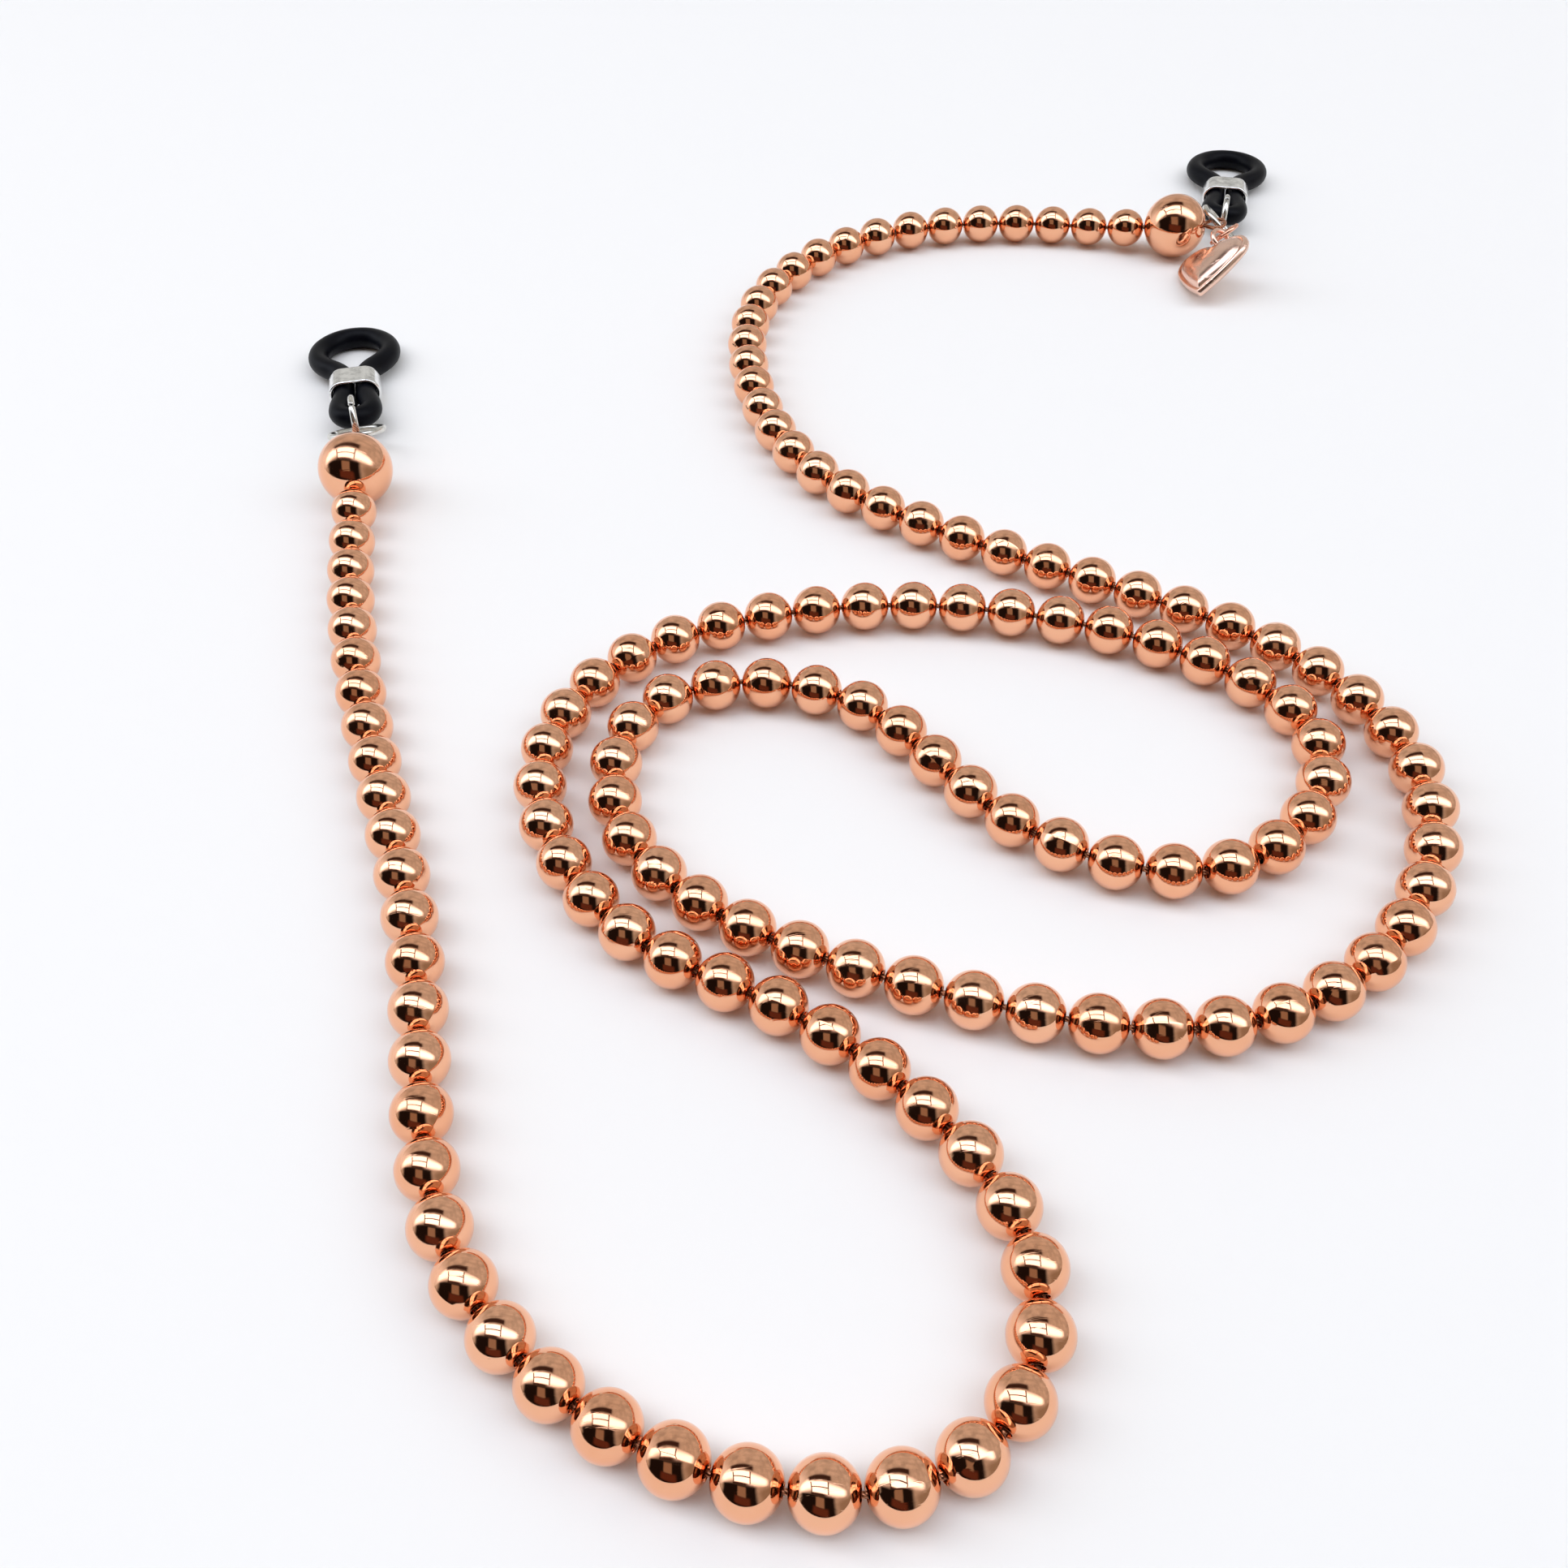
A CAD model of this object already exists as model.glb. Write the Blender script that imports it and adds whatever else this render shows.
"""Looks of a beaded eyeglass strap: rose gold beads on a wire, rings, rubber loops and a heart charm."""

import random
from math import asin, atan2, cos, pi, radians, sin, sqrt

import bpy
from mathutils import Matrix, Vector


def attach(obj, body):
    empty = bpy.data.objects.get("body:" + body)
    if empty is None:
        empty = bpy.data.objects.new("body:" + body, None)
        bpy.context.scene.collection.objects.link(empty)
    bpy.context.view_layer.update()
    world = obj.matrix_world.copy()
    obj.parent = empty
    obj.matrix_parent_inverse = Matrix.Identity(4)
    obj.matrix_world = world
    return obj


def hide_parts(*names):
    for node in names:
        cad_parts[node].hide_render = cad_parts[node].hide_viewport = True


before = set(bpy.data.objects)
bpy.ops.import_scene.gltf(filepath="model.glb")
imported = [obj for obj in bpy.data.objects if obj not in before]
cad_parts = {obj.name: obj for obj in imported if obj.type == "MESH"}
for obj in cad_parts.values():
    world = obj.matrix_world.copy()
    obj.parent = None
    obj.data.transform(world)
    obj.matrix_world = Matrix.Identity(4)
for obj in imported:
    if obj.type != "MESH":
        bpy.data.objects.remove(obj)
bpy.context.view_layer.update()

# ---------------------------------------------------------------- camera

CAMERA_POS = Vector((-0.007, -0.137, 0.1082))
CAMERA_PITCH = radians(45.5)
CAMERA_ROLL = radians(1.43)
LENS_MM = 36.43
SENSOR_MM = 36.0
CLIP_START = 0.005
CLIP_END = 100


def make_camera():
    """A camera looking along +Y and down, with a slight roll."""
    level_down = Vector((0, -sin(CAMERA_PITCH), -cos(CAMERA_PITCH)))
    forward = Vector((0, cos(CAMERA_PITCH), -sin(CAMERA_PITCH)))
    right = cos(CAMERA_ROLL) * Vector((1, 0, 0)) + sin(CAMERA_ROLL) * level_down
    down = -sin(CAMERA_ROLL) * Vector((1, 0, 0)) + cos(CAMERA_ROLL) * level_down
    data = bpy.data.cameras.new("camera")
    data.lens = LENS_MM
    data.sensor_width = SENSOR_MM
    data.clip_start = CLIP_START
    data.clip_end = CLIP_END
    camera = bpy.data.objects.new("camera", data)
    turn = Matrix((right, -down, -forward)).transposed().to_4x4()
    camera.matrix_world = Matrix.Translation(CAMERA_POS) @ turn
    bpy.context.scene.collection.objects.link(camera)
    bpy.context.scene.camera = camera


make_camera()

# ---------------------------------------------------------------- the strand's line, as in the CAD part

BEAD_R = 0.0025
PITCH = 0.0051
BORE_R = 0.00055
END_BEAD_R = 0.0042
BEAD_GAP = 0.0001
BEAD_COUNT = 137
LAST = BEAD_COUNT - 1
WIRE_R = 0.00025
END_LIFT = 0.0006
SECOND_LIFT = 0.00015
SPLINE_STEPS = 16

# Control points of a uniform cubic B-spline, from the left end to the right.
ROUTE = [
    (-0.056, 0.032), (-0.055, 0.011), (-0.052, -0.009), (-0.046, -0.029), (-0.040, -0.046), (-0.037, -0.060),
    (-0.034, -0.083), (-0.015, -0.098), (0.007, -0.099), (0.014, -0.079), (-0.007, -0.057), (-0.020, -0.054),
    (-0.033, -0.034), (-0.026, -0.014), (-0.006, -0.007), (0.013, -0.007), (0.034, -0.014), (0.049, -0.030),
    (0.033, -0.050), (0.010, -0.039), (0.003, -0.019), (-0.022, -0.017), (-0.025, -0.039), (-0.010, -0.052),
    (0.011, -0.060), (0.030, -0.064), (0.048, -0.053), (0.055, -0.032), (0.044, -0.014), (0.028, -0.005),
    (0.006, 0.008), (-0.006, 0.020), (-0.011, 0.040), (-0.010, 0.059), (0.004, 0.075), (0.024, 0.079),
    (0.043, 0.075), (0.062, 0.066),
]


def b_spline(k, u):
    weights = ((1 - u) ** 3, 3 * u**3 - 6 * u * u + 4, -3 * u**3 + 3 * u * u + 3 * u + 1, u**3)
    return Vector([sum(w * ROUTE[k + i][axis] for i, w in enumerate(weights)) / 6 for axis in (0, 1)])


CURVE = [b_spline(k, j / SPLINE_STEPS) for k in range(len(ROUTE) - 3) for j in range(SPLINE_STEPS)]
CURVE.append(b_spline(len(ROUTE) - 4, 1))


def bead_centres():
    """Bead centres at equal steps along the curve, with the last two at each end lifted a little."""
    travel = [0.0]
    for a, b in zip(CURVE, CURVE[1:]):
        travel.append(travel[-1] + (b - a).length)
    start = (travel[-1] - PITCH * LAST) / 2
    centres = []
    k = 0
    for i in range(BEAD_COUNT):
        s = start + i * PITCH
        while travel[k + 1] < s:
            k += 1
        p = CURVE[k].lerp(CURVE[k + 1], (s - travel[k]) / (travel[k + 1] - travel[k]))
        from_end = min(i, LAST - i)
        lift = END_LIFT if from_end == 0 else SECOND_LIFT if from_end == 1 else 0
        centres.append(Vector((p[0], p[1], BEAD_R + lift)))
    return centres


def direction(heading, elevation=0.0):
    return Vector((cos(heading) * cos(elevation), sin(heading) * cos(elevation), sin(elevation)))


def aim(pos, heading, elevation=0.0, roll=0.0):
    """A place whose X axis has this heading and elevation, after a roll about X."""
    turn = Matrix.Rotation(heading, 4, "Z") @ Matrix.Rotation(-elevation, 4, "Y")
    return Matrix.Translation(pos) @ (turn @ Matrix.Rotation(roll, 4, "X"))


def heading_of(v):
    return atan2(v[1], v[0])


BEADS = bead_centres()
END_STEP = BEAD_R + END_BEAD_R + BEAD_GAP
END_RISE = asin((END_BEAD_R - BEAD_R - END_LIFT) / END_STEP)
END_HEADING = [heading_of(BEADS[0] - BEADS[1]), heading_of(BEADS[LAST] - BEADS[LAST - 1])]
END_POS = [
    BEADS[0] + END_STEP * direction(END_HEADING[0], END_RISE),
    BEADS[LAST] + END_STEP * direction(END_HEADING[1], END_RISE),
]
STRAND = [END_POS[0]] + BEADS + [END_POS[1]]
TAIL = 7
GROUP = 5
SIDES = ("left", "right")

# Beads of each stretch of the strand: its body, its first bead and its last bead.
SPANS = [
    ("left_tip", 0, TAIL - 1),
    ("left_mid", TAIL, 2 * TAIL - 1),
    ("left_base", 2 * TAIL, 3 * TAIL - 1),
    ("coil", 3 * TAIL, LAST - 3 * TAIL),
    ("right_base", LAST - 3 * TAIL + 1, LAST - 2 * TAIL),
    ("right_mid", LAST - 2 * TAIL + 1, LAST - TAIL),
    ("right_tip", LAST - TAIL + 1, LAST),
]

# ---------------------------------------------------------------- materials

COPPER = (0.93, 0.50, 0.31)
COPPER_DEEP = (0.89, 0.42, 0.235)
CHARM_RING_COLOURS = ((0.92, 0.50, 0.36), (0.88, 0.42, 0.28))
HEART_COLOURS = ((0.93, 0.66, 0.54), (0.90, 0.56, 0.43))
RUBBER_BLACK = (0.0010, 0.0012, 0.0026)
RUBBER_DUSTY = (0.0028, 0.0032, 0.0065)
WIRE_DARK = (0.18, 0.06, 0.025)
WIRE_BRIGHT = (0.60, 0.25, 0.13)
# The worn patches of the silver-coloured metal, as a share of its own colour.
WORN_SHADE = 0.62
# Depths of the fine relief, in metres.
SCRATCH_DEPTH = 0.00002
MARK_DEPTH = 0.00003
PORE_DEPTH = 0.00004
TWIST_DEPTH = 0.00004


def node_material(name, metallic, roughness, **sockets):
    """A Principled material, with its node tree and its shader."""
    material = bpy.data.materials.new(name)
    material.use_nodes = True
    tree = material.node_tree
    shader = tree.nodes["Principled BSDF"]
    shader.inputs["Metallic"].default_value = metallic
    shader.inputs["Roughness"].default_value = roughness
    for socket, value in sockets.items():
        shader.inputs[socket.replace("_", " ")].default_value = value
    return material, tree, shader


def add(tree, kind, inputs=None, **settings):
    """Adds a node. An input is either a plain value or another node's output."""
    node = tree.nodes.new(kind)
    for key, value in settings.items():
        setattr(node, key, value)
    for key, value in (inputs or {}).items():
        if isinstance(value, bpy.types.NodeSocket):
            tree.links.new(value, node.inputs[key])
        else:
            node.inputs[key].default_value = value
    return node


def noise(tree, coords, scale, detail=3.0, rough=0.5, stretch=None):
    """Noise in the object's own coordinates, stretched along an axis if asked."""
    vector = coords.outputs["Object"]
    if stretch:
        vector = add(tree, "ShaderNodeMapping", {"Vector": vector, "Scale": stretch}).outputs["Vector"]
    inputs = {"Vector": vector, "Scale": scale, "Detail": detail, "Roughness": rough}
    return add(tree, "ShaderNodeTexNoise", inputs)


def ramp(tree, factor, stops):
    """A colour ramp through (place, colour) stops."""
    node = add(tree, "ShaderNodeValToRGB", {"Fac": factor})
    elements = node.color_ramp.elements
    while len(elements) < len(stops):
        elements.new(0.5)
    for element, (place, colour) in zip(elements, stops):
        element.position = place
        element.color = (*colour, 1)
    return node


def span(tree, value, low, high):
    """Maps 0..1 to low..high."""
    node = add(tree, "ShaderNodeMapRange", {"Value": value, "To Min": low, "To Max": high})
    return node.outputs["Result"]


def bump(tree, shader, height, strength, distance):
    node = add(tree, "ShaderNodeBump", {"Height": height, "Strength": strength, "Distance": distance})
    tree.links.new(node.outputs["Normal"], shader.inputs["Normal"])


def plated(name, base, deep, roughness, smudge, scratch):
    """Polished plating: colour that drifts from bead to bead, finger smudges and hair scratches."""
    material, tree, shader = node_material(name, 1.0, roughness)
    coords = add(tree, "ShaderNodeTexCoord")
    tone = add(tree, "ShaderNodeAttribute", attribute_name="tone")
    cloud = noise(tree, coords, 420, 4)
    factors = {0: tone.outputs["Fac"], 1: cloud.outputs["Fac"]}
    blend = add(tree, "ShaderNodeMath", factors, operation="MULTIPLY")
    colours = ramp(tree, blend.outputs[0], [(0.05, base), (0.75, deep)])
    tree.links.new(colours.outputs["Color"], shader.inputs["Base Color"])
    smear = noise(tree, coords, 260, 5, 0.6, (1, 1, 2.5))
    patches = ramp(tree, smear.outputs["Fac"], [(0.45, (0, 0, 0)), (0.7, (1, 1, 1))])
    tree.links.new(span(tree, patches.outputs["Color"], roughness, smudge), shader.inputs["Roughness"])
    hairs = noise(tree, coords, 900, 2, 0.5, (0.25, 3, 1))
    lines = ramp(tree, hairs.outputs["Fac"], [(0.62, (0, 0, 0)), (0.66, (1, 1, 1)), (0.7, (0, 0, 0))])
    bump(tree, shader, lines.outputs["Color"], scratch, SCRATCH_DEPTH)
    return material


def bright_metal(name, base, roughness, worn):
    """Silver-coloured metal with drawing marks and worn patches."""
    material, tree, shader = node_material(name, 1.0, roughness)
    coords = add(tree, "ShaderNodeTexCoord")
    cloud = noise(tree, coords, 700, 5, 0.65)
    dark = tuple(WORN_SHADE * c for c in base)
    colours = ramp(tree, cloud.outputs["Fac"], [(0.3, dark), (0.55, base), (0.9, base)])
    tree.links.new(colours.outputs["Color"], shader.inputs["Base Color"])
    tree.links.new(span(tree, cloud.outputs["Fac"], roughness, worn), shader.inputs["Roughness"])
    marks = noise(tree, coords, 2200, 3, 0.5, (1, 1, 4))
    bump(tree, shader, marks.outputs["Fac"], 0.25, MARK_DEPTH)
    return material


def rubber():
    """Matt black rubber cord with a faint blue cast, fine pores and dusty patches."""
    material, tree, shader = node_material("rubber_cord", 0.0, 0.55, Specular_IOR_Level=0.1)
    coords = add(tree, "ShaderNodeTexCoord")
    dust = noise(tree, coords, 600, 6, 0.7)
    colours = ramp(tree, dust.outputs["Fac"], [(0.35, RUBBER_BLACK), (0.75, RUBBER_DUSTY)])
    tree.links.new(colours.outputs["Color"], shader.inputs["Base Color"])
    tree.links.new(span(tree, dust.outputs["Fac"], 0.32, 0.5), shader.inputs["Roughness"])
    pores = noise(tree, coords, 5200, 4, 0.6)
    bump(tree, shader, pores.outputs["Fac"], 0.35, PORE_DEPTH)
    return material


def wire_material():
    """Copper-coloured, nylon-coated beading wire with its twist showing."""
    material, tree, shader = node_material("beading_wire", 0.9, 0.3, Coat_Weight=0.15, Coat_Roughness=0.2)
    coords = add(tree, "ShaderNodeTexCoord")
    strands = {"Vector": coords.outputs["Object"], "Scale": 1500, "Distortion": 2}
    twist = add(tree, "ShaderNodeTexWave", strands, bands_direction="DIAGONAL")
    colours = ramp(tree, twist.outputs["Fac"], [(0.1, WIRE_DARK), (0.7, WIRE_BRIGHT)])
    tree.links.new(colours.outputs["Color"], shader.inputs["Base Color"])
    grime = noise(tree, coords, 900, 3)
    tree.links.new(span(tree, grime.outputs["Fac"], 0.22, 0.42), shader.inputs["Roughness"])
    bump(tree, shader, twist.outputs["Fac"], 0.5, TWIST_DEPTH)
    return material


MATERIALS = {
    "bead_plate": plated("bead_plate", COPPER, COPPER_DEEP, 0.045, 0.12, 0.12),
    "end_bead_plate": plated("end_bead_plate", COPPER, COPPER_DEEP, 0.05, 0.14, 0.15),
    "charm_ring_plate": plated("charm_ring_plate", *CHARM_RING_COLOURS, 0.14, 0.24, 0.3),
    "heart_plate": plated("heart_plate", *HEART_COLOURS, 0.2, 0.34, 0.45),
    "ring_metal": bright_metal("ring_metal", (0.78, 0.76, 0.71), 0.14, 0.3),
    "sleeve_metal": bright_metal("sleeve_metal", (0.92, 0.92, 0.91), 0.1, 0.22),
    "crimp_metal": bright_metal("crimp_metal", (0.80, 0.78, 0.74), 0.2, 0.36),
    "beading_wire": wire_material(),
    "rubber_cord": rubber(),
}

# ---------------------------------------------------------------- mesh helpers

# The tone of every piece but the small beads, which have a tone each.
PLAIN_TONE = 0.6


def grid_faces(rows, columns, wrap_rows, wrap_columns, first=0):
    """Quads over a grid of vertices, closed in either direction if asked."""
    faces = []
    for i in range(rows if wrap_rows else rows - 1):
        for j in range(columns if wrap_columns else columns - 1):
            a, b = i, (i + 1) % rows
            c, d = j, (j + 1) % columns
            corners = (a * columns + c, b * columns + c, b * columns + d, a * columns + d)
            faces.append([first + k for k in corners])
    return faces


def new_piece(name, vertices, faces, slot, body, replaces=(), tones=None):
    """Makes a smooth mesh piece, gives it its material and lets it ride on its body."""
    mesh = bpy.data.meshes.new(name)
    mesh.from_pydata([tuple(v) for v in vertices], [], faces)
    mesh.shade_smooth()
    tone = mesh.attributes.new("tone", "FLOAT", "POINT")
    tone.data.foreach_set("value", tones or [PLAIN_TONE] * len(vertices))
    mesh.materials.append(MATERIALS[slot])
    mesh.validate()
    piece = bpy.data.objects.new(name, mesh)
    bpy.context.scene.collection.objects.link(piece)
    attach(piece, body)
    if replaces:
        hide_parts(*replaces)
    return piece


def lathe(profile, angles, place, ridge=0.0):
    """Turns a closed (radius, axial) profile about X. A ridge raises the meridians at 0 and half a turn."""
    vertices = []
    for angle, share in angles:
        for radius, axial in profile:
            out = 1 + ridge * share / max(radius, BORE_R)
            vertices.append(place @ Vector((axial, radius * out * cos(angle), radius * out * sin(angle))))
    return vertices, grid_faces(len(angles), len(profile), True, True)


def sweep(points, section, closed=False, up=Vector((0, 0, 1)), scale=None):
    """Runs a closed section of (side, up) offsets along a line of points, with flat or tapered ends."""
    n = len(points)
    vertices = []
    for i, p in enumerate(points):
        before = points[(i - 1) % n] if closed else points[max(i - 1, 0)]
        after = points[(i + 1) % n] if closed else points[min(i + 1, n - 1)]
        along = (after - before).normalized()
        side = along.cross(up).normalized()
        top = side.cross(along)
        size = scale[i] if scale else 1
        vertices += [p + size * (a * side + b * top) for a, b in section]
    faces = grid_faces(n, len(section), closed, True)
    if not closed:
        m = len(section)
        faces.append(list(range(m - 1, -1, -1)))
        faces.append(list(range((n - 1) * m, n * m)))
    return vertices, faces


def circle(r, sides):
    return [(r * cos(2 * pi * j / sides), r * sin(2 * pi * j / sides)) for j in range(sides)]


def smooth_line(points, steps, closed):
    """A Catmull-Rom line through the points."""
    n = len(points)
    line = []
    for i in range(n if closed else n - 1):
        if closed:
            a, b, c, d = (points[(i + k) % n] for k in (-1, 0, 1, 2))
        else:
            a, b, c, d = (points[min(max(i + k, 0), n - 1)] for k in (-1, 0, 1, 2))
        for j in range(steps):
            u = j / steps
            line.append(0.5 * (2 * b + (c - a) * u + (2 * a - 5 * b + 4 * c - d) * u * u
                               + (3 * b - a - 3 * c + d) * u**3))
    if not closed:
        line.append(points[-1])
    return line


# ---------------------------------------------------------------- wire

# Distances along the wire, from the centre of a bead.
WIRE_START = 0.0019
END_BEAD_RUN = 0.0039
STRAIGHT_RUN = 0.0022
CUT_RUN = PITCH / 2 - 0.00012


def bead_axis(i):
    return (STRAND[i + 2] - STRAND[i]).normalized()


def wire_line(first, last):
    """The wire's line: straight through each bead, bent in the gaps, and cut short of the next stretch."""
    line = []
    for i in range(first, last + 1):
        line += [BEADS[i] - STRAIGHT_RUN * bead_axis(i), BEADS[i] + STRAIGHT_RUN * bead_axis(i)]
    if first == 0:
        out = direction(END_HEADING[0], END_RISE)
        line = [END_POS[0] + WIRE_START * out, END_POS[0] - END_BEAD_RUN * out] + line
    else:
        line = [BEADS[first] - CUT_RUN * bead_axis(first)] + line
    if last == LAST:
        out = direction(END_HEADING[1], END_RISE)
        line = line + [END_POS[1] - END_BEAD_RUN * out, END_POS[1] + WIRE_START * out]
    else:
        line = line + [BEADS[last] + CUT_RUN * bead_axis(last)]
    return line


def make_wire(body, first, last):
    line = wire_line(first, last)
    data = bpy.data.curves.new("wire_core_" + body, "CURVE")
    data.dimensions = "3D"
    data.bevel_depth = WIRE_R
    data.bevel_resolution = 3
    data.use_fill_caps = True
    spline = data.splines.new("POLY")
    spline.points.add(len(line) - 1)
    for point, p in zip(spline.points, line):
        point.co = (*p, 1)
    data.materials.append(MATERIALS["beading_wire"])
    piece = bpy.data.objects.new("wire_core_" + body, data)
    bpy.context.scene.collection.objects.link(piece)
    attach(piece, body)
    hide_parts("wire_" + body)
    length = sum((b - a).length for a, b in zip(line, line[1:]))
    return piece, line[0], length


WIRES = {body: make_wire(body, first, last) for body, first, last in SPANS}

# ---------------------------------------------------------------- beads

LIP_R = 0.0001
SEAM_HEIGHT = 0.000012
SEAM_SPREAD = radians(2.2)
BEAD_TURNS = 34
BEAD_ARC_STEPS = 20
SPIN_SEED = 7


def lip(radius, bore_r, lip_r, side, steps=3):
    """The rounded edge between the ball and a hole, from the ball to the hole, at one side."""
    centre_r = bore_r + lip_r
    centre_x = sqrt((radius - lip_r) ** 2 - centre_r**2)
    start = atan2(centre_x, centre_r)
    points = []
    for k in range(steps + 1):
        a = start + (pi - start) * k / steps
        points.append((centre_r + lip_r * cos(a), side * (centre_x + lip_r * sin(a))))
    return points, start


def ball_profile(radius, bore_r, lip_r, steps):
    """A bored ball's closed half-section as (radius, axial) points."""
    front, start = lip(radius, bore_r, lip_r, 1)
    back, _ = lip(radius, bore_r, lip_r, -1)
    angles = [-start + 2 * start * k / steps for k in range(1, steps)]
    arc = [(radius * cos(a), radius * sin(a)) for a in angles]
    return arc + front + back[::-1]


def seam_angles(turns, seam_width):
    """Angles round a bead with (angle, ridge share), with extra meridians beside the two seams."""
    seams = [0, pi]
    angles = [(2 * pi * j / turns, 0.0) for j in range(turns) if j not in (0, turns // 2)]
    for seam in seams:
        angles += [(seam - seam_width, 0.0), (seam, 1.0), (seam + seam_width, 0.0)]
    return sorted(angles)


BEAD_ANGLES = seam_angles(BEAD_TURNS, SEAM_SPREAD)
BEAD_PROFILE = ball_profile(BEAD_R, BORE_R, LIP_R, BEAD_ARC_STEPS)
random.seed(SPIN_SEED)
SPINS = [random.uniform(0, 2 * pi) for _ in BEADS]
TONES = [random.uniform(0.2, 1.0) for _ in BEADS]
SEAMS = [SEAM_HEIGHT * random.choice((0.25, 0.5, 1.0)) for _ in BEADS]


def bead_run(name, first, last, body, node):
    """One mesh with the beads of a CAD node, each turned about the wire by its own amount."""
    vertices = []
    faces = []
    tones = []
    for i in range(first, last + 1):
        axis = bead_axis(i)
        place = aim(BEADS[i], heading_of(axis), asin(axis.z), SPINS[i])
        points, _ = lathe(BEAD_PROFILE, BEAD_ANGLES, place, SEAMS[i])
        faces += grid_faces(len(BEAD_ANGLES), len(BEAD_PROFILE), True, True, len(vertices))
        vertices += points
        tones += [TONES[i]] * len(points)
    return new_piece(name, vertices, faces, "bead_plate", body, [node], tones)


BEAD_PIECES = {body: [] for body, _, _ in SPANS}
for body, first, last in SPANS:
    if body == "coil":
        for k in range((last - first + 1) // GROUP):
            start = first + GROUP * k
            tag = f"coil_{k + 1:02d}"
            run = bead_run("polished_beads_" + tag, start, start + GROUP - 1, body, "beads_" + tag)
            BEAD_PIECES[body].append(run)
    else:
        BEAD_PIECES[body].append(bead_run("polished_beads_" + body, first, last, body, "beads_" + body))

# ---------------------------------------------------------------- end beads, crimps and wire eyes

END_BEAD_TURNS = 64
END_BEAD_ARC_STEPS = 34
COUNTERBORE_R = 0.0013
COUNTERBORE_START = 0.0014
CRIMP_R = 0.00115
CRIMP_BORE_R = 0.00065
CRIMP_START = 0.0016
CRIMP_LENGTH = 0.0022
CRIMP_TURNS = 36
CRIMP_STEPS = 12
CRIMP_RIM = 0.00012
CRIMP_SQUEEZE = 0.12
LEG_START = 0.0021
LEG_OFFSET = 0.0003
EYE_MIDDLE = 0.0052
EYE_HALF_LENGTH = 0.0015
EYE_WIDTH = 0.00169
EYE_SMOOTHING = 2
EYE_SIDES = 14
EYE_ROLL = [0.0, pi / 2]


def end_bead_profile():
    """A bored ball with a wider, stepped hole on the ring's side."""
    near, start_near = lip(END_BEAD_R, BORE_R, LIP_R, -1)
    far, start_far = lip(END_BEAD_R, COUNTERBORE_R, LIP_R, 1)
    arc = []
    for k in range(1, END_BEAD_ARC_STEPS):
        a = -start_near + (start_near + start_far) * k / END_BEAD_ARC_STEPS
        arc.append((END_BEAD_R * cos(a), END_BEAD_R * sin(a)))
    step = [(COUNTERBORE_R, COUNTERBORE_START), (BORE_R, COUNTERBORE_START)]
    return arc + far + step + near[::-1]


def crimp_mesh(place):
    """A crimp tube squeezed flat in the middle, with rounded rims and a fold along it."""
    rim = CRIMP_RIM
    stations = [(0, -rim), (rim * 0.4, -rim * 0.3), (rim, 0)]
    stations += [(CRIMP_LENGTH * k / CRIMP_STEPS, 0) for k in range(1, CRIMP_STEPS)]
    stations += [(CRIMP_LENGTH - rim, 0), (CRIMP_LENGTH - rim * 0.4, -rim * 0.3), (CRIMP_LENGTH, -rim)]
    vertices = []
    for is_bore in (False, True):
        for x, shrink in (reversed(stations) if is_bore else stations):
            squeeze = CRIMP_SQUEEZE * (1 - (2 * x / CRIMP_LENGTH - 1) ** 2) ** 2
            for j in range(CRIMP_TURNS):
                a = 2 * pi * j / CRIMP_TURNS
                r = CRIMP_BORE_R - shrink if is_bore else CRIMP_R + shrink
                fold = 1 - squeeze * (0.4 + 0.6 * abs(sin(a)))
                vertices.append(place @ Vector((CRIMP_START + x, r * fold * cos(a), r * fold * sin(a))))
    return vertices, grid_faces(2 * len(stations), CRIMP_TURNS, True, True)


def wire_eye_mesh(place, roll):
    """The eye: one leg out of the crimp, round, and the other leg back in."""
    outline = [(LEG_START, LEG_OFFSET)]
    for degrees_round in range(35, 330, 5):
        t = radians(degrees_round)
        outline.append((EYE_MIDDLE - EYE_HALF_LENGTH * cos(t), EYE_WIDTH * sin(t) * sin(t / 2)))
    outline.append((LEG_START, -LEG_OFFSET))
    rolled = place @ Matrix.Rotation(roll, 4, "X")
    line = smooth_line([rolled @ Vector((x, 0, z)) for x, z in outline], EYE_SMOOTHING, False)
    return sweep(line, circle(WIRE_R, EYE_SIDES), up=rolled.to_3x3() @ Vector((0, 1, 0)))


EYE_PIECES = []
CRIMP_PIECES = []
END_PIECES = []
for side, name in enumerate(SIDES):
    place = aim(END_POS[side], END_HEADING[side], END_RISE)
    body = name + "_tip"
    angles = [(2 * pi * j / END_BEAD_TURNS, 0.0) for j in range(END_BEAD_TURNS)]
    points, faces = lathe(end_bead_profile(), angles, place)
    end_bead = new_piece("polished_end_bead_" + name, points, faces, "end_bead_plate", body,
                         ["end_bead_" + name])
    END_PIECES.append(end_bead)
    points, faces = crimp_mesh(place)
    crimp = new_piece("squeezed_crimp_" + name, points, faces, "crimp_metal", body, ["crimp_" + name])
    CRIMP_PIECES.append(crimp)
    points, faces = wire_eye_mesh(place, EYE_ROLL[side])
    EYE_PIECES.append(new_piece("wire_eye_" + name, points, faces, "beading_wire", body))

# ---------------------------------------------------------------- rings

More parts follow.
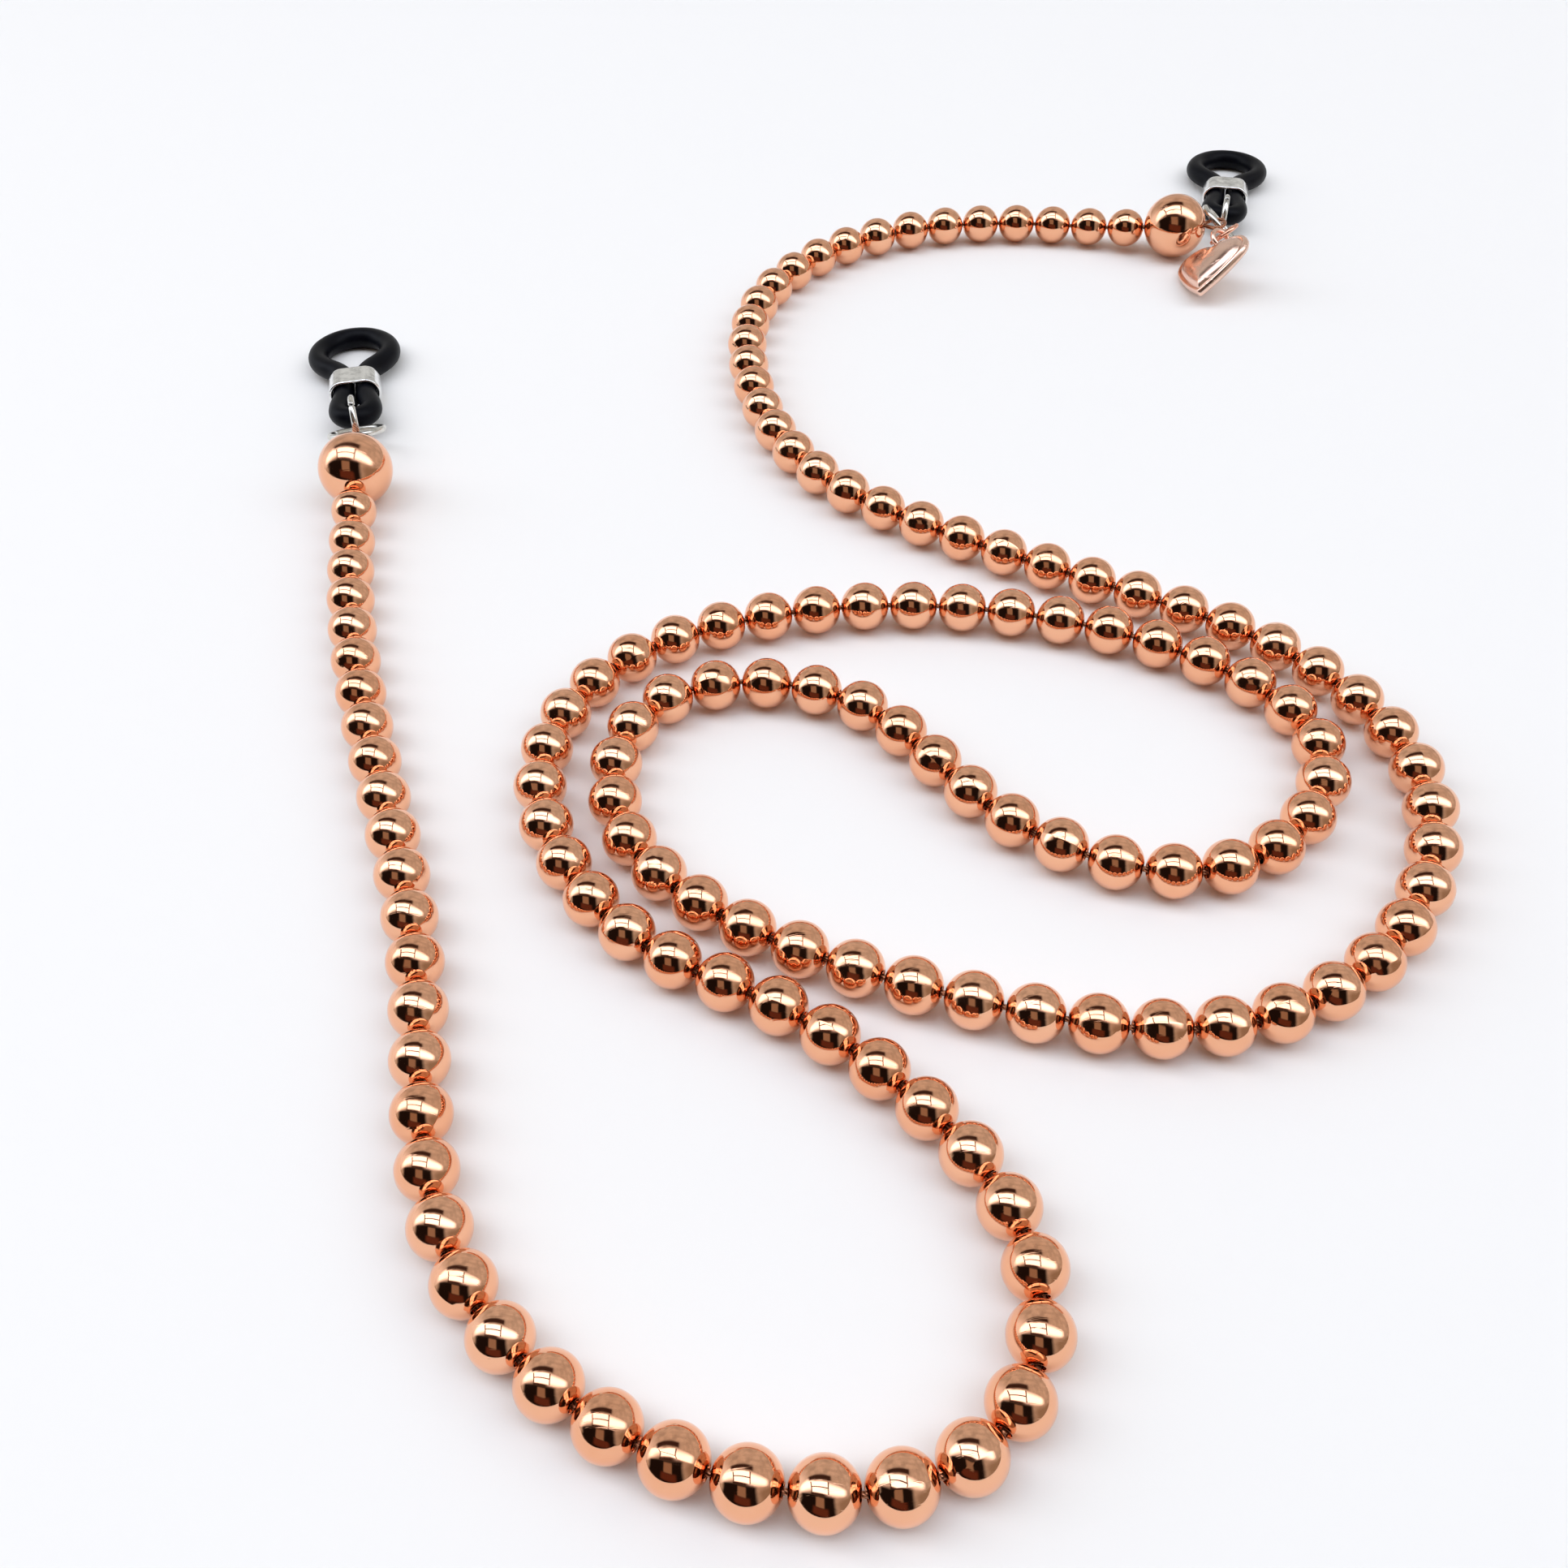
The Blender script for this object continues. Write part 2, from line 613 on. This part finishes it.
RING_WIRE_R = 0.0004
STRAND_RING_R = 0.0031
LOOP_RING_R = 0.0026
CHARM_RING_R = 0.0019
CHARM_WIRE_R = 0.0003
RING_CUT = radians(6)
RING_SEAT = 0.0057
RING_EXIT_HEIGHT = 0.0024
STRAND_RING_HEADING = [radians(105), radians(66)]
STRAND_RING_ROLL = [0.0, radians(37)]
STRAND_RING_CUT = [radians(60), radians(100)]
LOOP_RING_HEADING = [radians(103), radians(74)]
LOOP_RING_CUT = [radians(110), radians(100)]
LOOP_RING_HANG = 0.0013
RING_STEPS = 96
RING_SIDES = 20
# At a cut end the wire narrows over this share of its radius, through these (place, size) stops.
CUT_EDGE = 0.22
CUT_STOPS = [(0, 0.72), (0.35, 0.9), (1, 1.0)]

ENTRY = [END_POS[s] + RING_SEAT * direction(END_HEADING[s], END_RISE) for s in (0, 1)]
RING_DROP = asin((ENTRY[0].z - RING_EXIT_HEIGHT) / (2 * STRAND_RING_R))
RING_POS = [ENTRY[s] + STRAND_RING_R * direction(STRAND_RING_HEADING[s], -RING_DROP) for s in (0, 1)]
RING_EXIT = [ENTRY[s] + 2 * STRAND_RING_R * direction(STRAND_RING_HEADING[s], -RING_DROP) for s in (0, 1)]
LOOP_RING_POS = []
for s in (0, 1):
    over = Vector((RING_EXIT[s].x, RING_EXIT[s].y, LOOP_RING_R + RING_WIRE_R))
    LOOP_RING_POS.append(over + LOOP_RING_HANG * direction(LOOP_RING_HEADING[s]))


def jump_ring(name, place, ring_r, wire_r, cut, slot, body, node):
    """An open ring of round wire. Its two cut ends are nearly flat, with a small rounded edge."""
    start = cut + RING_CUT / 2
    turn = 2 * pi - RING_CUT
    edge = CUT_EDGE * wire_r / ring_r
    stops = [(edge * share, size) for share, size in CUT_STOPS]
    stops += [(turn * k / RING_STEPS, 1.0) for k in range(1, RING_STEPS)]
    stops += [(turn - edge * share, size) for share, size in reversed(CUT_STOPS)]
    line = [place @ (ring_r * Vector((cos(start + a), sin(start + a), 0))) for a, _ in stops]
    up = place.to_3x3() @ Vector((0, 0, 1))
    points, faces = sweep(line, circle(wire_r, RING_SIDES), up=up, scale=[size for _, size in stops])
    return new_piece(name, points, faces, slot, body, [node])


for s, name in enumerate(SIDES):
    place = aim(RING_POS[s], STRAND_RING_HEADING[s], -RING_DROP, STRAND_RING_ROLL[s])
    jump_ring("cut_ring_strand_" + name, place, STRAND_RING_R, RING_WIRE_R, STRAND_RING_CUT[s],
              "ring_metal", name + "_strand_ring", "strand_ring_" + name)
    place = aim(LOOP_RING_POS[s], LOOP_RING_HEADING[s], 0, pi / 2)
    jump_ring("cut_ring_loop_" + name, place, LOOP_RING_R, RING_WIRE_R, LOOP_RING_CUT[s],
              "ring_metal", name + "_loop_ring", "loop_ring_" + name)

# ---------------------------------------------------------------- rubber loops and sleeves

RUBBER_R = 0.0013
RUBBER_SEAT = 0.0007
RUBBER_HEIGHT = 0.0028
LOOP_HEADING = [radians(101), radians(76)]
# One side of the loop's centre line as (along, sideways), from the ring to the far end.
LOOP_HALF = [
    (0, 0), (0.00045, 0.0012), (0.0015, 0.00185), (0.0027, 0.0019), (0.0039, 0.0017), (0.0051, 0.0014),
    (0.006, 0.00135), (0.0083, 0.00135), (0.0106, 0.00135), (0.0116, 0.0015), (0.0128, 0.0022),
    (0.0142, 0.0034), (0.0158, 0.0043), (0.0176, 0.00455), (0.0194, 0.0041), (0.0209, 0.003),
    (0.0218, 0.0016), (0.0221, 0),
]
LOOP_SMOOTHING = 5
LOOP_DROP = asin((RUBBER_HEIGHT - RUBBER_R) / LOOP_HALF[-1][0])
SLEEVE_MIDDLE = 0.0081
SLEEVE_LENGTH = 0.004
SLEEVE_WALL = 0.00045
SLEEVE_CLEARANCE = 0.0001
STRAND_SPREAD = 0.00135
RUBBER_SIDES = 28
RIM_STEPS = 6
BODY_STEPS = 10
ROUND_STEPS = 16
FLAT_STEPS = 6
DENT = 0.00009

LOOP_POS = []
for s in (0, 1):
    over = Vector((LOOP_RING_POS[s].x, LOOP_RING_POS[s].y, RUBBER_HEIGHT))
    LOOP_POS.append(over + RUBBER_SEAT * direction(LOOP_HEADING[s]))


def rubber_loop(name, place, body, node):
    outline = LOOP_HALF + [(x, -y) for x, y in LOOP_HALF[-2:0:-1]]
    line = smooth_line([place @ Vector((x, y, 0)) for x, y in outline], LOOP_SMOOTHING, True)
    up = place.to_3x3() @ Vector((0, 0, 1))
    points, faces = sweep(line, circle(RUBBER_R, RUBBER_SIDES), closed=True, up=up)
    return new_piece(name, points, faces, "rubber_cord", body, [node])


def sleeve(name, place, body, node):
    """A short flattened tube with rounded rims, pressed in slightly along its two flat faces."""
    outer = RUBBER_R + SLEEVE_CLEARANCE + SLEEVE_WALL
    rim = SLEEVE_WALL / 2
    half = SLEEVE_LENGTH / 2
    stations = []
    for middle_x, first_angle in ((half - rim, 0), (rim - half, pi)):
        for k in range(RIM_STEPS + 1):
            a = first_angle + pi * k / RIM_STEPS
            stations.append((middle_x + rim * sin(a), outer - rim + rim * cos(a)))
    stations += [(rim - half + 2 * (half - rim) * k / BODY_STEPS, outer) for k in range(1, BODY_STEPS)]
    around = []
    for sign in (1, -1):
        for k in range(ROUND_STEPS + 1):
            a = -pi / 2 + pi * k / ROUND_STEPS
            around.append((sign * STRAND_SPREAD, sign * cos(a), sign * sin(a)))
        for k in range(1, FLAT_STEPS):
            around.append((sign * STRAND_SPREAD * (1 - 2 * k / FLAT_STEPS), 0.0, sign))
    vertices = []
    for x, r in stations:
        for middle, sideways, upright in around:
            dent = 0
            if r >= outer - rim:
                across = (1 - abs(sideways)) * (1 - (middle / STRAND_SPREAD) ** 2)
                dent = DENT * across * max(0, 1 - (x / half) ** 2)
            corner = Vector((SLEEVE_MIDDLE + x, middle + r * sideways, (r - dent) * upright))
            vertices.append(place @ corner)
    faces = grid_faces(len(stations), len(around), True, True)
    return new_piece(name, vertices, faces, "sleeve_metal", body, [node])


for s, name in enumerate(SIDES):
    place = aim(LOOP_POS[s], LOOP_HEADING[s], -LOOP_DROP)
    rubber_loop("rubber_loop_" + name, place, name + "_temple_loop", "temple_loop_" + name)
    sleeve("pinched_sleeve_" + name, place, name + "_sleeve", "loop_sleeve_" + name)

# ---------------------------------------------------------------- heart charm

CHARM_HOOK_ANGLE = radians(212)
CHARM_HEADING = radians(-115)
CHARM_RISE = radians(15)
CHARM_ROLL = radians(45)
CHARM_HANG = 0.001
CHARM_RING_CUT = pi / 2
BAIL_R = 0.0013
BAIL_WIRE_R = 0.00035
BAIL_SEAT = 0.0005
BAIL_ROLL = radians(-70)
NECK_LENGTH = 0.0017
NECK_R = (0.0003, 0.0005)
NECK_STEPS = 12
HEART_HEADING = radians(-114)
HEART_RISE = radians(-13)
HEART_ROLL = radians(37)
HEART_W = 0.0106
HEART_H = 0.0102
HEART_T = 0.0034
LOBE_R = 0.275 * HEART_W
HEART_MIDDLE = 0.42 * HEART_H
# The angle at which the outline leaves a lobe, and the ends of the curve from there to the tip.
LOBE_LEAVE = radians(62)
FLANK_START = 0.33
FLANK_END = 0.3 * Vector((-0.62, 0.78))
# Half thicknesses of the heart: at its edge's corner and on the flat border inside the edge.
EDGE_HALF = 0.00036
BORDER_HALF = 0.00052
GROOVE = 0.00008
RIDGE = 0.00004
# The inner edge of the border, as a share of the outline's size.
BORDER_SHARE = 0.85
# The puff rises as (1 - share ** PUFF_INNER) ** PUFF_OUTER, where share runs from 0 at the middle to nearly
# 1 at the border.
PUFF_INNER = 2.1
PUFF_OUTER = 0.62
PUFF_STEPS = 12
OUTLINE_STEPS = 26
BAIL_STEPS = 64
BAIL_SIDES = 18
NECK_SIDES = 24

ring_place = aim(RING_POS[1], STRAND_RING_HEADING[1], -RING_DROP, STRAND_RING_ROLL[1])
hook = ring_place @ (STRAND_RING_R * Vector((cos(CHARM_HOOK_ANGLE), sin(CHARM_HOOK_ANGLE), 0)))
charm_pos = hook + CHARM_HANG * direction(CHARM_HEADING, CHARM_RISE)
heart_pos = charm_pos + CHARM_RING_R * direction(CHARM_HEADING, CHARM_RISE)
heart_pos += BAIL_SEAT * direction(HEART_HEADING, HEART_RISE)
charm_place = aim(charm_pos, CHARM_HEADING, CHARM_RISE, CHARM_ROLL)
jump_ring("cut_ring_charm", charm_place, CHARM_RING_R, CHARM_WIRE_R, CHARM_RING_CUT,
          "charm_ring_plate", "charm_ring", "charm_ring")


def heart_outline(steps):
    """Half of the heart's outline, from the notch between the lobes round to the tip, as (x, y)."""
    lobe_x = BAIL_R + LOBE_R
    lobe_y = HEART_W / 2 - LOBE_R
    notch = atan2(-lobe_y, -sqrt(LOBE_R**2 - lobe_y**2)) + 2 * pi
    points = []
    for k in range(steps):
        a = notch - (notch - LOBE_LEAVE) * k / (steps - 1)
        points.append(Vector((lobe_x + LOBE_R * cos(a), lobe_y + LOBE_R * sin(a))))
    start = points[-1]
    tip = Vector((BAIL_R + HEART_H, 0))
    reach = (tip - start).length
    bend_a = start + FLANK_START * reach * Vector((sin(LOBE_LEAVE), -cos(LOBE_LEAVE)))
    bend_b = tip + reach * FLANK_END
    for k in range(1, steps + 1):
        u = k / steps
        near_start = (1 - u) ** 3 * start + 3 * u * (1 - u) ** 2 * bend_a
        points.append(near_start + 3 * u * u * (1 - u) * bend_b + u**3 * tip)
    return points


def heart_rings():
    """The heart's half-section as (share of the outline's size, height) stops, from the edge inwards."""
    rings = [(1.0, 0.0), (1.0, 0.6 * EDGE_HALF), (0.985, EDGE_HALF), (0.965, BORDER_HALF)]
    rings += [(0.90, BORDER_HALF + RIDGE), (0.885, BORDER_HALF - GROOVE), (0.865, BORDER_HALF - GROOVE)]
    base = BORDER_HALF + RIDGE
    rings.append((BORDER_SHARE, base))
    for k in range(1, PUFF_STEPS + 1):
        share = BORDER_SHARE * (1 - k / (PUFF_STEPS + 0.5))
        puff = (1 - (share / (BORDER_SHARE + 0.01)) ** PUFF_INNER) ** PUFF_OUTER
        rings.append((share, base + (HEART_T / 2 - base) * puff))
    return rings


def puffed_heart(place):
    """A heart puffed on both faces, with a narrow flat border, a groove inside it and a rounded edge."""
    half = heart_outline(OUTLINE_STEPS)
    outline = half + [Vector((p.x, -p.y)) for p in half[-2:0:-1]]
    middle = Vector((BAIL_R + HEART_MIDDLE, 0))
    rings = heart_rings()
    count = len(outline)
    vertices = []
    faces = []
    for sign in (1, -1):
        first = len(vertices)
        # The two faces share the ring of vertices at the edge, so the lower one leaves it out.
        own_rings = rings if sign > 0 else rings[1:]
        for share, height in own_rings:
            for p in outline:
                q = middle + share * (p - middle)
                vertices.append(place @ Vector((q.x, q.y, sign * height)))
        top = len(vertices)
        vertices.append(place @ Vector((middle.x, middle.y, sign * HEART_T / 2)))
        sheet = grid_faces(len(own_rings), count, False, True, first)
        inner = top - count
        sheet += [[inner + j, top, inner + (j + 1) % count] for j in range(count)]
        if sign < 0:
            edge = [(j, first + j, first + (j + 1) % count, (j + 1) % count) for j in range(count)]
            sheet = [list(face) for face in edge] + sheet
        faces += sheet if sign > 0 else [face[::-1] for face in sheet]
    return vertices, faces


heart_place = aim(heart_pos, HEART_HEADING, HEART_RISE, HEART_ROLL)
points, faces = puffed_heart(heart_place)
new_piece("puffed_heart", points, faces, "heart_plate", "heart_charm", ["heart_charm"])

bail_place = heart_place @ Matrix.Rotation(BAIL_ROLL, 4, "X")
bail_line = [bail_place @ Vector((x, y, 0)) for x, y in circle(BAIL_R, BAIL_STEPS)]
bail_up = bail_place.to_3x3() @ Vector((0, 0, 1))
points, faces = sweep(bail_line, circle(BAIL_WIRE_R, BAIL_SIDES), closed=True, up=bail_up)
new_piece("heart_bail", points, faces, "heart_plate", "heart_charm")

# A neck that widens from the bail's wire into the notch between the lobes.
neck_shares = [k / NECK_STEPS for k in range(NECK_STEPS + 1)]
neck_line = [heart_place @ Vector((BAIL_R + NECK_LENGTH * share, 0, 0)) for share in neck_shares]
neck_radii = [NECK_R[0] + (NECK_R[1] - NECK_R[0]) * share**2 for share in neck_shares]
neck_up = heart_place.to_3x3() @ Vector((0, 0, 1))
points, faces = sweep(neck_line, circle(1, NECK_SIDES), up=neck_up, scale=neck_radii)
new_piece("heart_neck", points, faces, "heart_plate", "heart_charm")

# ---------------------------------------------------------------- the wire is one cord per stretch

for body, _, _ in SPANS:
    piece, start, length = WIRES[body]
    carried = list(BEAD_PIECES[body])
    for side, name in enumerate(SIDES):
        if body == name + "_tip":
            carried += [END_PIECES[side], CRIMP_PIECES[side], EYE_PIECES[side]]

# ---------------------------------------------------------------- floor, light and world

FLOOR_HALF = 4.0
FLOOR_COLOUR = (0.935, 0.925, 0.90)
# The floor lies this far below the strap, so that they don't touch.
FLOOR_DROP = 0.00002
BACKGROUND = (0.98, 0.98, 0.985)


def make_floor():
    half = FLOOR_HALF
    corners = [(-half, -half, 0), (half, -half, 0), (half, half, 0), (-half, half, 0)]
    mesh = bpy.data.meshes.new("floor")
    mesh.from_pydata(corners, [], [(0, 1, 2, 3)])
    material, tree, shader = node_material("floor_white", 0.0, 0.75)
    shader.inputs["Base Color"].default_value = (*FLOOR_COLOUR, 1)
    shader.inputs["Specular IOR Level"].default_value = 0.15
    mesh.materials.append(material)
    floor = bpy.data.objects.new("floor", mesh)
    floor.location.z = -FLOOR_DROP
    bpy.context.scene.collection.objects.link(floor)


def panel(name, centre, size, radiance, colour=(1, 1, 1), target=(0, -0.02, 0)):
    """A rectangular soft light that faces a point. Radiance is the brightness of its surface."""
    data = bpy.data.lights.new(name, "AREA")
    data.shape = "RECTANGLE"
    data.size, data.size_y = size
    data.energy = radiance * pi * size[0] * size[1]
    data.color = colour
    light = bpy.data.objects.new(name, data)
    back = (Vector(centre) - Vector(target)).normalized()
    side = Vector((0, 1, 0)).cross(back).normalized()
    up = back.cross(side)
    light.matrix_world = Matrix.Translation(centre) @ Matrix((side, up, back)).transposed().to_4x4()
    light.visible_glossy = False
    bpy.context.scene.collection.objects.link(light)


def make_lights():
    """Two soft panels that shape the shadows. What the beads mirror is the room's own windows."""
    panel("lamp_left", (-0.45, -0.05, 0.55), (0.40, 0.40), 1.4, (1, 0.975, 0.94))
    panel("lamp_right", (0.55, 0.10, 0.60), (0.40, 0.40), 0.8, (1, 0.96, 0.91))


# The room as the beads mirror it. Each patch has an across range (0 is straight ahead, -90 is left), an over
# range (0 is the near horizon, 90 is overhead, 180 is the far horizon), a softness and a colour. All angles
# are in degrees. The over ranges slope down to the right, as the windows do.
ROOM_GREY = (0.56, 0.55, 0.525)
WINDOW = (2.7, 2.85, 3.2)
FRAME = (0.06, 0.045, 0.035)
OVER_SLOPE = 0.22
ROOM = [
    ((-89, -50), (60, 190), 16, (1.0, 1.05, 1.12)),
    ((34, 100), (-10, 56), 16, (0.30, 0.26, 0.21)),
    ((-75, 28), (-12, 64), 7, (0.012, 0.008, 0.007)),
    ((-34, 8), (2, 26), 5, (0.11, 0.035, 0.02)),
    ((-27, -3), (27, 56), 3, (0.30, 0.22, 0.16)),
    ((-42, 20), (60, 67), 2, (0.05, 0.03, 0.025)),
    ((-74, -32), (77, 112), 10, WINDOW),
    ((4, 64), (69, 98), 10, WINDOW),
    ((-38, 8), (69, 102), 2, WINDOW),
    ((-39, 9), (84, 87.5), 1, FRAME),
    ((-41, -37.5), (68, 103), 1, FRAME),
    ((8.5, 12), (68, 103), 1, FRAME),
    ((-44, 18), (107, 123), 4, (0.045, 0.025, 0.02)),
]


def smooth_step(tree, value, start, stop):
    """Rises from 0 at start to 1 at stop, or falls if stop is the lower one."""
    limits = {"Value": value, "From Min": radians(start), "From Max": radians(stop)}
    node = add(tree, "ShaderNodeMapRange", limits, interpolation_type="SMOOTHSTEP")
    return node.outputs["Result"]


def maths(tree, operation, *values):
    """A maths node over plain values or other nodes' outputs."""
    node = add(tree, "ShaderNodeMath", dict(enumerate(values)), operation=operation)
    return node.outputs["Value"]


def inside(tree, value, limits, soft):
    """1 between two limits in degrees, falling to 0 outside them over a soft edge."""
    low, high = limits
    rise = smooth_step(tree, value, low - soft, low + soft)
    fall = smooth_step(tree, value, high + soft, high - soft)
    return maths(tree, "MULTIPLY", rise, fall)


def make_world():
    """A plain warm-grey room with windows overhead, and a dark patch where the near side is in shade."""
    world = bpy.data.worlds.new("room")
    bpy.context.scene.world = world
    world.use_nodes = True
    tree = world.node_tree
    back = tree.nodes["Background"]
    coords = add(tree, "ShaderNodeTexCoord")
    split = add(tree, "ShaderNodeSeparateXYZ", {"Vector": coords.outputs["Generated"]})
    across = maths(tree, "ARCSINE", split.outputs["X"])
    near = maths(tree, "MULTIPLY", split.outputs["Y"], -1)
    level = maths(tree, "ARCTAN2", split.outputs["Z"], near)
    over = maths(tree, "MULTIPLY_ADD", across, OVER_SLOPE, level)
    texture = {"Vector": coords.outputs["Generated"], "Scale": 4.0, "Detail": 2.0}
    cloud = add(tree, "ShaderNodeTexNoise", texture)
    darker = tuple(0.8 * c for c in ROOM_GREY)
    lighter = tuple(1.15 * c for c in ROOM_GREY)
    walls = ramp(tree, cloud.outputs["Fac"], [(0.35, darker), (0.65, lighter)])
    colour = walls.outputs["Color"]
    for across_limits, over_limits, soft, patch in ROOM:
        columns = inside(tree, across, across_limits, soft)
        rows = inside(tree, over, over_limits, soft)
        mask = maths(tree, "MULTIPLY", columns, rows)
        mix = add(tree, "ShaderNodeMixRGB", {"Fac": mask, "Color1": colour, "Color2": (*patch, 1)})
        colour = mix.outputs["Color"]
    path = add(tree, "ShaderNodeLightPath")
    # The camera sees a plain background, and only reflections see the room.
    choice = {"Fac": path.outputs["Is Camera Ray"], "Color1": colour, "Color2": (*BACKGROUND, 1)}
    seen = add(tree, "ShaderNodeMixRGB", choice)
    tree.links.new(seen.outputs["Color"], back.inputs["Color"])


make_floor()
make_lights()
make_world()
bpy.context.scene.view_settings.view_transform = "Standard"
